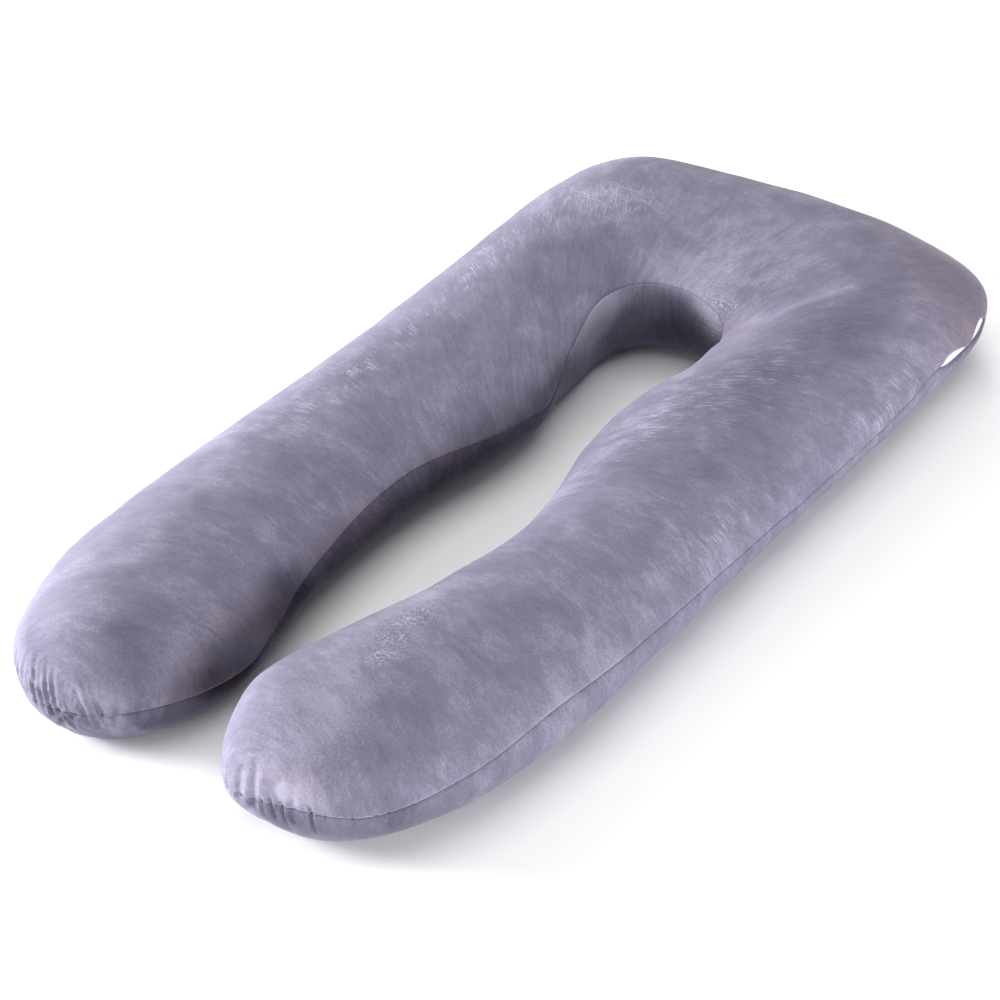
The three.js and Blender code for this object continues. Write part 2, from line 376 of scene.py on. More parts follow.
def section_ends(place):
    """Outer and inner end of the section at each place, and its crest: the seam runs up the outer
    ends and back along the inner ones, with the crest carried along as a third number."""
    outer = SECTIONS[:, (0, 1, 4)]
    inner = SECTIONS[:, (2, 3, 4)]
    seam = np.vstack([outer, inner[::-1]])
    a = closed_curve(seam, place)
    b = closed_curve(seam, len(seam) - 1 - place)
    crest = (a[:, 2] + b[:, 2]) / 2
    a[:, 2] = SEAM_HEIGHT
    b[:, 2] = SEAM_HEIGHT + ARCH_CLIMB * arch_share(place)
    return a, b, crest


def crown(share, span, rise):
    """Height of a section of that fullness at a share of the way from its middle to its rim."""
    return (1 - np.minimum(share, 1) ** span) ** (1 / rise)


def skin(place, angle):
    """Points of the skin in millimetres, a row for each place and a column for each angle, which are
    the same in all rows or given row by row. A point lies between its section's ends by the cosine
    of the angle. Above the seam it rises towards the crest by the crown of its distance from the
    middle, and below the seam it sinks to a flat base by a second crown. Where the tube narrows to a
    tip, points count as further from the middle, so that both crowns sink to the seam."""
    outer, inner, crest = section_ends(place)
    angle = np.broadcast_to(angle, (len(place), np.shape(angle)[-1]))
    across = np.cos(angle)
    half_width = np.linalg.norm((outer - inner)[:, :2], axis=1)[:, None] / 2
    reach = half_width / (half_width ** TIP_POWER + TIP_ROUNDING ** TIP_POWER) ** (1 / TIP_POWER)
    from_middle = np.sqrt(np.clip(1 - reach ** 2 * (1 - across ** 2), 0, 1))
    share = ((1 + across) / 2)[..., None]
    points = mixed(inner[:, None], outer[:, None], share)
    height = crown(from_middle, *(mixed(i, o, share[..., 0]) for i, o in zip(INNER_SIDE, OUTER_SIDE)))
    above = mixed(points[..., 2], crest[:, None], height)
    wall = arch_share(place)[:, None] * (across < 0)
    past_flat = np.clip((from_middle - FLAT_SHARE) / (1 - FLAT_SHARE), 0, 1)
    depth = crown(past_flat, *(mixed(u, w, wall) for u, w in zip(UNDERSIDE, ARCH_WALL)))
    below = np.where(across < 0, inner[:, None, 2], outer[:, None, 2]) * (1 - depth)
    points[..., 2] = np.where(np.sin(angle) > -TINY, above, below)
    return points


# ---- The grid over the skin ----

TOP_COLUMNS, BASE_COLUMNS, GROOVE_COLUMNS = 90, 44, 7
SEAM_CROWDING = 0.5  # how much closer together the columns are at the seam than half way
COARSE_TOP, COARSE_BASE = 54, 36  # columns of the coarse copy that is swollen
# Spacing of the rows at the feet and along the rest of the tube, and of the coarse copy's rows, and
# the run of seam from a foot's tip over which one turns into the other
ROW_SPACING, COARSE_SPACING = (2.6, 5.5), (5, 11)
SPACING_FADE = (140, 320)
# Steps in which curves are measured: the climb to the seam, a panel from edge to edge, the tube from
# tip to tip and each side of the seam. Points are compared with the seam so many at a time.
CLIMB_STEPS, PANEL_STEPS, TUBE_STEPS, SEAM_STEPS = 300, 400, 4000, 1400
POINTS_AT_ONCE = 1500


def crowd(share, amount):
    """Shares from 0 to 1, drawn closer together towards both ends."""
    return share - amount * np.sin(TURN * share) / TURN


def cubic_weights(wanted, known):
    """Matrix that turns values known at rising coordinates into values at the wanted ones, by cubics
    whose slope at each known coordinate is that of the chord between its two neighbours."""
    last = len(known) - 1
    at = np.clip(np.searchsorted(known, wanted, side="right") - 1, 0, last - 1)
    gap = known[at + 1] - known[at]
    share = (wanted - known[at]) / gap
    square, cube = share ** 2, share ** 3
    weights = np.zeros((len(wanted), len(known)))
    rows = np.arange(len(wanted))
    np.add.at(weights, (rows, at), 2 * cube - 3 * square + 1)
    np.add.at(weights, (rows, at + 1), 3 * square - 2 * cube)
    for end, slope_share in ((at, cube - 2 * square + share), (at + 1, cube - square)):
        before, after = np.maximum(end - 1, 0), np.minimum(end + 1, last)
        part = slope_share * gap / (known[after] - known[before])
        np.add.at(weights, (rows, after), part)
        np.add.at(weights, (rows, before), -part)
    return weights


def seam_angles(place, lip=0):
    """Angles of the seam on the outer and on the inner side at each place: where the skin, going up
    from its widest line, has climbed the seam's rise, and on the outer side the lip as well."""
    climb = np.linspace(0, math.pi / 2, CLIMB_STEPS)
    angles = []
    for rises, side, extra in ((OUTER_RISE, climb, lip), (INNER_RISE, math.pi - climb, 0)):
        known, above = np.array(rises, float).T
        rise = np.maximum(cubic_weights(np.clip(place, known[0], known[-1]), known) @ above, 0) + extra
        height = skin(place, side)[..., 2]
        angles.append([np.interp(wanted, row - row[0], side) for wanted, row in zip(rise, height)])
    return np.array(angles)


def seam_lines(place):
    """The seam's points on the outer and on the inner side at each place."""
    angles = seam_angles(place)
    return skin(place, angles.T).transpose(1, 0, 2)


def panel_angles(place, start, stop, share):
    """Angles of a panel's columns, a row for each place. They lie at these shares of the skin's length
    from the panel's starting angle to its last one."""
    fine = mixed(start[:, None], stop[:, None], crowd(np.linspace(0, 1, PANEL_STEPS), 1))
    steps = np.linalg.norm(np.diff(skin(place, fine), axis=1), axis=2)
    run = np.concatenate([np.zeros((len(place), 1)), np.cumsum(steps, axis=1)], axis=1)
    return np.array([np.interp(share * along[-1], along, angles) for along, angles in zip(run, fine)])


def panels(place, lip, top_share, base_share):
    """The skin of the top panel, which starts its lip above the outer seam, and of the base panel."""
    outer, inner = seam_angles(place)
    lifted = seam_angles(place, lip)[0]
    return (skin(place, panel_angles(place, lifted, inner, top_share)),
            skin(place, panel_angles(place, inner, TURN + outer, base_share)))


def run_along(place):
    """Length of seam from the left foot's tip to each place, taken half way between its two sides."""
    outer, inner, _ = section_ends(place)
    outer_steps, inner_steps = (np.linalg.norm(np.diff(side, axis=0), axis=1) for side in (outer, inner))
    return np.concatenate([[0], np.cumsum((outer_steps + inner_steps) / 2)])


def run_along_at(place):
    """run_along for places that needn't be close together."""
    dense = np.linspace(LEFT_TIP, RIGHT_TIP, TUBE_STEPS)
    return np.interp(place, dense, run_along(dense))


def stations(fine, coarse):
    """Places along the tube, this many millimetres apart at the feet and along the rest of it."""
    place = np.linspace(LEFT_TIP, RIGHT_TIP, TUBE_STEPS)
    run = run_along(place)
    middle = (run[1:] + run[:-1]) / 2
    from_tip = np.minimum(middle, run[-1] - middle)
    spacing = fine + (coarse - fine) * smooth_step(*SPACING_FADE, from_tip)
    count = np.concatenate([[0], np.cumsum(np.diff(run) / spacing)])
    return np.interp(np.linspace(0, count[-1], int(count[-1]) + 1), count, place)


def normals(grid):
    """Outward unit normals of a grid, from the differences between each point's neighbours. The tips,
    where a row is one point, take the mean of the next row's."""
    along = np.gradient(grid, axis=0)
    across = np.gradient(grid, axis=1)
    normal = np.cross(across, along)
    normal /= np.maximum(np.linalg.norm(normal, axis=-1, keepdims=True), TINY)
    for tip, next_row in ((0, 1), (-1, -2)):
        normal[tip] = normal[next_row].mean(0) / np.linalg.norm(normal[next_row].mean(0))
    return normal


def seam_samples():
    """Points every few millimetres along the whole seam, from the left foot's tip up the outer side and
    back along the inner side, with the run of seam up to each, and the whole run of each side."""
    outer, inner = seam_lines(np.linspace(LEFT_TIP, RIGHT_TIP, SEAM_STEPS))
    seam = np.vstack([outer, inner[-2:0:-1]])
    steps = np.linalg.norm(np.diff(np.vstack([seam, seam[:1]]), axis=0), axis=1)
    run = np.concatenate([[0], np.cumsum(steps)])
    return seam, run[:-1], run[len(outer) - 1], run[-1]


def from_seam(points):
    """How each point in millimetres lies to the seam: its distance, below 0 under it, and the run of
    seam to the left and to the right foot's tip, outwards above 0. The nearest sample is found, and
    the run then slides along the seam there to the foot of the perpendicular."""
    samples, run, outer_run, whole = seam_samples()
    flat = points.reshape(-1, 3)
    tangent = np.roll(samples, -1, 0) - np.roll(samples, 1, 0)
    tangent /= np.linalg.norm(tangent, axis=1)[:, None]
    near = np.concatenate([
        np.argmin(((part[:, None] - samples[None]) ** 2).sum(-1), 1)
        for part in np.array_split(flat, max(1, len(flat) // POINTS_AT_ONCE))])
    offset = flat - samples[near]
    slide = (offset * tangent[near]).sum(1)
    away = np.linalg.norm(offset - slide[:, None] * tangent[near], axis=1)
    along = run[near] + slide
    from_left = np.where(along > whole / 2, along - whole, along)
    from_right = outer_run - along
    side = np.where(offset[:, 2] < 0, -1, 1)
    shape = points.shape[:-1]
    return (away * side).reshape(shape), from_left.reshape(shape), from_right.reshape(shape)


def trough(distance):
    """A trough of depth 1 with a low shoulder on each side, over a distance in widths: the second
    derivative of a bell curve."""
    return (1 - 2 * distance ** 2) * np.exp(-(distance ** 2))


def pucker_depth(away, along, puckers):
    """How deep the puckers draw the skin in. Each is a trough across its own line, which starts at
    the seam and leans, and fades out towards the end of its reach."""
    depth = np.zeros_like(away)
    for at, up, down, width, deep, lean in puckers:
        reach = np.where(away > 0, up, down)
        share = np.clip(np.abs(away) / reach, 0, 1)
        spread = width * (1 + PUCKER_SPREAD * share)
        line = at + lean * away
        depth += deep * (1 - share ** 2) ** 2 * trough((along - line) / spread)
    return depth


def crease_depth(points):
    """How deep the creases press into the top. Each is a trough across its own straight line, which
    fades out at both ends."""
    depth = np.zeros(points.shape[:-1])
    top = points[..., 2] > SEAM_HEIGHT
    for x0, y0, x1, y1, width, deep in CREASES:
        start, run = np.array([x0, y0]), np.array([x1 - x0, y1 - y0], float)
        length = np.linalg.norm(run)
        offset = points[..., :2] - start
        along = offset @ run / length
        beside = offset @ np.array([-run[1], run[0]]) / length
        ends = (-CREASE_END, CREASE_END)
        fade = smooth_step(*ends, along) * smooth_step(*ends, length - along)
        depth += deep * fade * trough(beside / width) * top
    return depth


def patchwork(points, patches):
    """Sum of the patches at each point in millimetres. Each is a bell curve, as wide along its heading
    as its length and as wide across it as its width."""
    total = np.zeros(points.shape[:-1])
    for x, y, z, length, width, heading, amount in patches:
        offset = points - np.array([x, y, z])
        turn = math.radians(heading)
        along = offset @ np.array([math.cos(turn), math.sin(turn), 0])
        rest = np.maximum((offset ** 2).sum(-1) - along ** 2, 0)
        total += amount * np.exp(-(along / length) ** 2 - rest / width ** 2)
    return total


def stuffing(points):
    """Height of the slight unevenness that hand-filled stuffing leaves: a few long waves, each with
    its own direction, length and start."""
    chance = np.random.default_rng(STUFFING_SEED)
    height = np.zeros(points.shape[:-1])
    shortest, longest = WAVE_LENGTH
    for _ in range(WAVES):
        heading, pitch, length, start = chance.uniform((0, -WAVE_PITCH, shortest, 0),
                                                       (TURN, WAVE_PITCH, longest, TURN))
        direction = np.array([math.cos(heading), math.sin(heading), pitch])
        height += WAVE_HEIGHT * np.sin(TURN * (points @ direction) / length + start)
    return height


def dress(grid, sewn):
    """A panel of the skin with what the cloth and the sewing add to it, along its normals. sewn is how
    hard the stitching pulls at each point. The part that lies on the ground stays flat."""
    away, from_left, from_right = from_seam(grid)
    distance = np.abs(away)
    inward = CREASE_DEPTH * np.exp(-distance / CREASE_WIDTH)
    roll = distance / ROLL_WIDTH
    inward -= ROLL_HEIGHT * roll * np.exp(1 - roll)
    inward *= sewn
    for from_tip, puckers in ((from_left, LEFT_PUCKERS), (from_right, RIGHT_PUCKERS)):
        inward += pucker_depth(away, from_tip, puckers) * (np.abs(from_tip) < FOOT_REACH)
    inward += crease_depth(grid) + patchwork(grid, HOLLOWS) - stuffing(grid)
    lifted = smooth_step(*GROUND_FADE, grid[..., 2])
    dressed = grid - (inward * lifted)[..., None] * normals(grid)
    dressed[..., 2] = np.maximum(dressed[..., 2], 0)
    return dressed


def gape_at(place):
    """Height of the open stretch between its lips: two lenses with a pinch between them, shut at both
    ends. The one at the head's corner is wider."""
    share = np.clip((place - OPEN_FROM) / (OPEN_TO - OPEN_FROM), 0, 1)
    lens = np.abs(np.sin(TURN * share)) ** LENS_POWER * (1 + CORNER_GAPE * (share < 0.5))
    height = (PINCH + (GAPE - PINCH) * lens) * smooth_step(0, LEFT_END, share)
    return height * smooth_step(0, RIGHT_END, 1 - share)


# ---- Swelling of the cloth ----


def smoothed(field, times):
    """A closed grid's values with each one moved half way to its neighbours' mean, many times over."""
    for _ in range(times):
        rows = np.concatenate([field[:1], field, field[-1:]])
        field = (field + (rows[:-2] + rows[2:] + np.roll(field, 1, 1) + np.roll(field, -1, 1)) / 4) / 2
    return field


def swelling(place, top_share, base_share):
    """Moves in millimetres that blowing the cover up gives the skin at each place and column. A coarse
    copy of the skin, fixed at its seam and underneath, is cloth with a little extra fullness at the
    feet, and pressure inside it draws the panels taut and gathers what is spare. The broad part of
    the swelling is taken off again, because the sizes are those of the filled pillow."""
    coarse_place = stations(*COARSE_SPACING)
    shares = [crowd(np.arange(count) / count, SEAM_CROWDING) for count in (COARSE_TOP, COARSE_BASE)]
    start = np.concatenate(panels(coarse_place, 0, *shares), axis=1) * MM
    coarse_round = np.concatenate([shares[0], 1 + shares[1]])
    rows, columns = len(coarse_place), len(coarse_round)
    sheet = make_mesh("swelling_cover", tube_points(start), tube_faces(rows - 2, columns))
    fixed = (start[..., 2] < LYING * MM).astype(float)
    fixed[:, 0] = fixed[:, COARSE_TOP] = 1
    fixed[[0, -1]] = 1
    away, from_left, from_right = from_seam(start / MM)
    near_tip = 1 - smooth_step(*SPARE_RUN, np.abs(from_left))
    near_tip = np.maximum(near_tip, RIGHT_SPARE * (1 - smooth_step(*SPARE_RUN, np.abs(from_right))))
    near_seam = 1 - smooth_step(*SPARE_REACH, np.abs(away))
    for name, share in (("fixed", fixed), ("taut", 1 - near_tip * near_seam)):
        group = sheet.vertex_groups.new(name=name)
        weight = np.round(tube_points(share[..., None])[:, 0], 2)
        for level in np.unique(weight):
            group.add(np.flatnonzero(weight == level).tolist(), float(level), "REPLACE")
    cloth = sheet.modifiers.new("swelling", "CLOTH")
    for name, value in CLOTH_SETTINGS.items():
        setattr(cloth.settings, name, value)
    cloth.settings.effector_weights.gravity = 0
    cloth.collision_settings.use_self_collision = False
    cloth.point_cache.frame_start, cloth.point_cache.frame_end = 1, SWELLING_FRAMES
    for number in range(1, SWELLING_FRAMES + 1):
        bpy.context.scene.frame_set(number)
    swollen = sheet.evaluated_get(bpy.context.evaluated_depsgraph_get()).to_mesh()
    points = np.empty(len(swollen.vertices) * 3)
    swollen.vertices.foreach_get("co", points)
    points = points.reshape(-1, 3)
    bpy.data.objects.remove(sheet)
    bpy.context.scene.frame_set(1)
    moved = np.empty_like(start)
    moved[0], moved[-1] = points[0], points[-1]
    moved[1:-1] = points[1:-1].reshape(rows - 2, columns, 3)
    moved -= start
    size = np.linalg.norm(moved, axis=-1, keepdims=True)
    moved *= np.minimum(1, LARGEST_MOVE * MM / np.maximum(size, TINY))
    moved -= smoothed(moved, BROAD_PASSES)
    moved *= mixed(CALM, 1, near_tip)[..., None]
    by_place = cubic_weights(run_along_at(place), run_along_at(coarse_place))
    padded_round = np.concatenate([coarse_round[-2:] - 2, coarse_round, coarse_round[:2] + 2])
    padded = np.concatenate([moved[:, -2:], moved, moved[:, :2]], axis=1)
    by_round = cubic_weights(np.concatenate([top_share, 1 + base_share]), padded_round)
    return np.einsum("ai,ijk,bj->abk", by_place, padded, by_round, optimize=True) / MM


# ---- Meshes ----


def make_mesh(name, points, faces, corners=None, paint=None):
    """A smooth object of these points and faces. corners are the cloth's own coordinates at each face
    corner, and paint holds named values at each point."""
    mesh = bpy.data.meshes.new(name)
    mesh.from_pydata(points, [], faces)
    if corners is not None:
        mesh.uv_layers.new(name="cloth").data.foreach_set("uv", corners.ravel())
    for title, values in (paint or {}).items():
        mesh.attributes.new(title, "FLOAT", "POINT").data.foreach_set("value", values)
    mesh.polygons.foreach_set("use_smooth", np.ones(len(mesh.polygons), bool))
    obj = bpy.data.objects.new(name, mesh)
    bpy.context.scene.collection.objects.link(obj)
    return obj


def tube_faces(rows, columns):
    """Faces of a tube closed round its columns, whose first and last row are one point each. Points
    are numbered row by row, with the first tip before them and the last tip after them."""
    number = 1 + np.arange(rows * columns).reshape(rows, columns)
    right = np.roll(number, -1, axis=1)
    quads = np.stack([number[:-1], right[:-1], right[1:], number[1:]], -1).reshape(-1, 4)
    first = np.stack([np.zeros(columns, int), right[0], number[0]], -1)
    last = np.stack([np.full(columns, rows * columns + 1), number[-1], right[-1]], -1)
    return quads.tolist() + first.tolist() + last.tolist()


def tube_corners(grid):
    """The cloth's coordinates in metres at the corners of those faces: the run along the tube's middle,
    and the length of thread round it from the outer seam, which ends where it began."""
    rows, columns = grid.shape[0] - 2, grid.shape[1]
    closed = np.concatenate([grid, grid[:, :1]], axis=1)
    middle = grid.mean(1)
    along = np.concatenate([[0], np.cumsum(np.linalg.norm(np.diff(middle, axis=0), axis=1))])
    steps = np.linalg.norm(np.diff(closed, axis=1), axis=2)
    thread = np.concatenate([np.zeros((rows + 2, 1)), np.cumsum(steps, axis=1)], axis=1)
    at = np.stack([np.broadcast_to(along[:, None], thread.shape), thread], -1)
    body = at[1:-1]
    quads = np.stack([body[:-1, :-1], body[:-1, 1:], body[1:, 1:], body[1:, :-1]], 2)
    ends = []
    for tip, row, order in ((at[0], body[0], (0, 2, 1)), (at[-1], body[-1], (0, 1, 2))):
        point = np.stack([tip[:-1, 0], (row[:-1, 1] + row[1:, 1]) / 2], -1)
        ends.append(np.stack([point, row[:-1], row[1:]], 1)[:, order].reshape(-1, 2))
    return np.concatenate([quads.reshape(-1, 2), *ends])


def tube_points(grid):
    """The points of a grid whose first and last rows have shrunk to one point each."""
    return np.vstack([grid[0, :1], grid[1:-1].reshape(-1, grid.shape[-1]), grid[-1, :1]])


def groove(edge, next_edge, depth, widening, inward):
    """Columns from one panel's edge in to the stitches and out to the next panel's edge. At each share
    of the way a column is in by the sine of it, and it swings from one edge to the other by the
    cosine, a little wider than the gap between them."""
    turn = (math.pi * np.arange(1, GROOVE_COLUMNS + 1) / (GROOVE_COLUMNS + 1))[None, :, None]
    middle, half = (edge + next_edge)[:, None] / 2, (edge - next_edge)[:, None] / 2
    upright = np.zeros_like(half)
    upright[..., 2] = np.where(half[..., 2] < 0, -1, 1) * widening[:, None]
    points = middle + (half + upright * np.sin(turn)) * np.cos(turn)
    return points + inward[:, None] * depth[:, None, None] * np.sin(turn)


def inward_of(edge, side):
    """Level unit vectors from an edge into the tube: its tangent turned by a quarter, to the right on
    the outer side and to the left on the inner one."""
    tangent = np.gradient(edge[:, :2], axis=0)
    tangent /= np.linalg.norm(tangent, axis=1)[:, None]
    return np.c_[side * tangent[:, 1], -side * tangent[:, 0], np.zeros(len(edge))]


def painted_seam_highlight(top):
    """The painted highlight along the outer seam: how near each point of the cover is to the top panel's
    edge there, a bell curve of its distance on the panel, and a straight fall from 1 to 0 down the
    groove."""
    steps = np.linalg.norm(np.diff(top, axis=1), axis=2)
    across = np.concatenate([np.zeros((len(top), 1)), np.cumsum(steps, axis=1)], axis=1)
    rise = np.broadcast_to(np.linspace(0, 1, GROOVE_COLUMNS), (len(top), GROOVE_COLUMNS))
    elsewhere = np.zeros((len(top), GROOVE_COLUMNS + BASE_COLUMNS + 1))
    return np.concatenate([np.exp(-(across / SEAM_HIGHLIGHT_WIDTH) ** 2), elsewhere, rise], axis=1)


def filled_cover():
    """The pillow's cover as one closed skin: the top panel, the groove of its inner seam, the base
    panel and the groove of its outer seam, which widens to a pocket where the seam is open. With it
    comes the painted highlight along the outer seam: how near each point is to the top panel's edge."""
    place = stations(*ROW_SPACING)
    gape = gape_at(place)
    top_share = crowd(np.linspace(0, 1, TOP_COLUMNS + 1), SEAM_CROWDING)
    base_share = crowd(np.linspace(0, 1, BASE_COLUMNS + 1), SEAM_CROWDING)
    top, base = panels(place, gape + STITCH_GAP, top_share, base_share)
    top[:, -1, 2] += STITCH_GAP
    loose = ARCH_LOOSE * arch_share(place)[:, None]
    top, base = dress(top, 1 - loose * top_share), dress(base, 1 - loose * (1 - base_share))
    moved = swelling(place, top_share, base_share)
    top += moved[:, :len(top_share)]
    base += moved[:, len(top_share):]
    base[..., 2] = np.maximum(base[..., 2], 0)
    near_lip = np.linspace(0, 1, BASE_COLUMNS + 1) ** LIP_POWER
    base[..., 2] -= SAG * gape[:, None] * near_lip
    chord = np.linalg.norm(top[:, 0] - top[:, -1], axis=1)
    depth = np.minimum(GROOVE_DEPTH, DEEPEST_SHARE * chord)
    widening = np.minimum(WIDENING, WIDEST_SHARE * chord)
    opened = smooth_step(0, POCKET_GAPE, gape)
    pulled = 1 - loose[:, 0]
    inner_groove = groove(top[:, -1], base[:, 0], depth * pulled, widening * pulled,
                          inward_of(top[:, -1], -1))
    outer_groove = groove(base[:, -1], top[:, 0], depth + (POCKET_DEPTH - GROOVE_DEPTH) * opened,
                          widening + POCKET_WIDENING * opened, inward_of(base[:, -1], 1))
    grid = np.concatenate([top, inner_groove, base, outer_groove], axis=1)
    grid[0], grid[-1] = grid[0].mean(0), grid[-1].mean(0)
    return grid * MM, painted_seam_highlight(top)


def casing():
    """The inner casing where it shows: a puffed strip behind the lips, each section of it a rounded
    box whose height follows the gape."""
    place = np.linspace(OPEN_FROM, OPEN_TO, CASING_ROWS)
    outer = seam_lines(place)[0]
    turn = np.linspace(0, TURN, CASING_COLUMNS, endpoint=False)
    inward = inward_of(outer, 1)[:, None]
    gape = gape_at(place)
    overlap = CASING_OVERLAP * smooth_step(0, OVERLAP_GAPE, gape)
    half_height = (gape * (1 + SAG) / 2 + overlap)[:, None]
    level = np.sign(np.cos(turn)) * np.abs(np.cos(turn)) ** BOX_LEVEL
    upright = np.sign(np.sin(turn)) * np.abs(np.sin(turn)) ** BOX_UPRIGHT
    grid = outer[:, None] + inward * (CASING_INSET - CASING_SPREAD * level)[None, :, None]
    grid[..., 2] += gape[:, None] * (1 - SAG) / 2 + STITCH_GAP / 2 + half_height * upright
    grid[0], grid[-1] = grid[0].mean(0), grid[-1].mean(0)
    return grid * MM


def build_tube(name, grid, paint=None):
    """A closed tube of a grid in metres, with its rows running along it."""
    faces = tube_faces(grid.shape[0] - 2, grid.shape[1])
    return make_mesh(name, tube_points(grid), faces, tube_corners(grid), paint)


cover, seam_highlight = filled_cover()
low, high = (np.array(corner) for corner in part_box("velvet_pillow"))
# The cover's own middle goes to the middle of the solid's box
shift = np.array([*((low + high) / 2 - (cover.min((0, 1)) + cover.max((0, 1))) / 2)[:2], 0])
PAINTED = {"nap_and_painted_light": NAP_AND_PAINTED_LIGHT, "streaked": STREAKED, "stroked": STROKED, "crumbled": CRUMBLED, "warmed_and_shade_tint": WARM_CASTS_AND_SHADE_TINT}
# Some of these painted values are painted light and shade: lighter tops and rims, darker walls, a warm
# shade tint and a seam highlight.
painted = {title: patchwork(cover / MM, patches) for title, patches in PAINTED.items()}
base_columns = slice(TOP_COLUMNS + 2, TOP_COLUMNS + GROOVE_COLUMNS + BASE_COLUMNS + 2)
# The base panel takes its own painted light and shade on top.
painted["nap_and_painted_light"][:, base_columns] += patchwork(cover[:, base_columns] / MM, BASE_PAINTED_LIGHT_AND_SHADE)
# painted highlight: a light line along the top panel's edge at the outer seam
painted["edge"] = seam_highlight
pillow = build_tube("pillow_cover", cover + shift, {
    title: tube_points(values[..., None])[:, 0] for title, values in painted.items()})
inner_casing = build_tube("casing_cover", casing() + shift)

# ---- Materials ----


def linear(hex_colour):
    """A colour written as sRGB hex, turned to the linear numbers that shaders take."""
    parts = [int(hex_colour[at:at + 2], 16) / 255 for at in (1, 3, 5)]
    return tuple(c / 12.92 if c <= 0.04045 else ((c + 0.055) / 1.055) ** 2.4 for c in parts) + (1.0,)


def add_node(tree, kind, inputs=None, **settings):
    """A new node of a kind, with its settings and with values or links in its sockets."""
    new = tree.nodes.new(kind)
    for name, value in settings.items():
        setattr(new, name, value)
    for socket, value in (inputs or {}).items():
        if isinstance(value, bpy.types.NodeSocket):
            tree.links.new(value, new.inputs[socket])
        else:
            new.inputs[socket].default_value = value
    return new


def new_material(name):
    """An empty material and its node tree."""
    material = bpy.data.materials.new(name)
    material.use_nodes = True
    material.node_tree.nodes.clear()
    return material, material.node_tree


# The velvet's patterns. Each noise lies on the body or along the cloth, and size is that of its
# features in millimetres in the three directions.
Noise = namedtuple("Noise", "name laid_on size detail distortion")
NOISES = table(Noise,
    ("clouds", "body", (64, 64, 64), 2.5, 0.4),
    ("swept", "cloth", (30, 80, 80), 3.0, 1.0),
    ("brushed", "cloth", (7, 26, 26), 3.0, 1.2),
    ("rows", "cloth", (2, 30, 30), 2.0, 0.5),
    ("patchy", "cloth", (18, 30, 30), 3.0, 0.0),
    ("wiped", "body", (45, 4, 30), 2.0, 1.4),
    ("pile", "body", (2.2, 2.2, 2.2), 2.0, 0.0),  # tufts, drawn twice as coarse as they are
    ("crumbs", "body", (3.6, 3.6, 3.6), 2.0, 0.0),
)
# Patterns cut out of others: 0 up to the low end of the source, 1 from the high end, and smooth
# between them
Cut = namedtuple("Cut", "name source low high")
CUTS = table(Cut,
    ("sharp_rows", "rows", 0.44, 0.66),
    ("some_rows", "patchy", 0.38, 0.6),
    ("sharp_wipes", "wiped", 0.48, 0.66),
    ("sharp_crumbs", "crumbs", 0.42, 0.6),
    ("some_warmth", "clouds", 0.3, 0.7),
)
PRODUCTS = {  # patterns that are only where all of their parts are
    "crest": ("sharp_rows", "some_rows", "streaked"),
    "stroke": ("sharp_wipes", "stroked"),
    "crumble": ("sharp_crumbs", "crumbled"),
    "warmth": ("some_warmth", "warmed_and_shade_tint"),
}
# Among these, the first term brings painted light and shade into the tone, and the last the painted
# highlight along the outer seam.
TONE = {"nap_and_painted_light": 0.6, "clouds": 0.75, "swept": 0.5, "brushed": 0.45, "pile": 0.7, "crest": 0.6,
        "stroke": 0.5, "crumble": 0.7, "edge": 0.3}
RELIEF = {"pile": 0.5, "crest": 0.35, "crumble": 1.8, "brushed": 0.3, "stroke": 0.35}
DARKEST, LIGHTEST = -0.1, 1.85  # tones that the two ends of the velvet's colours stand for


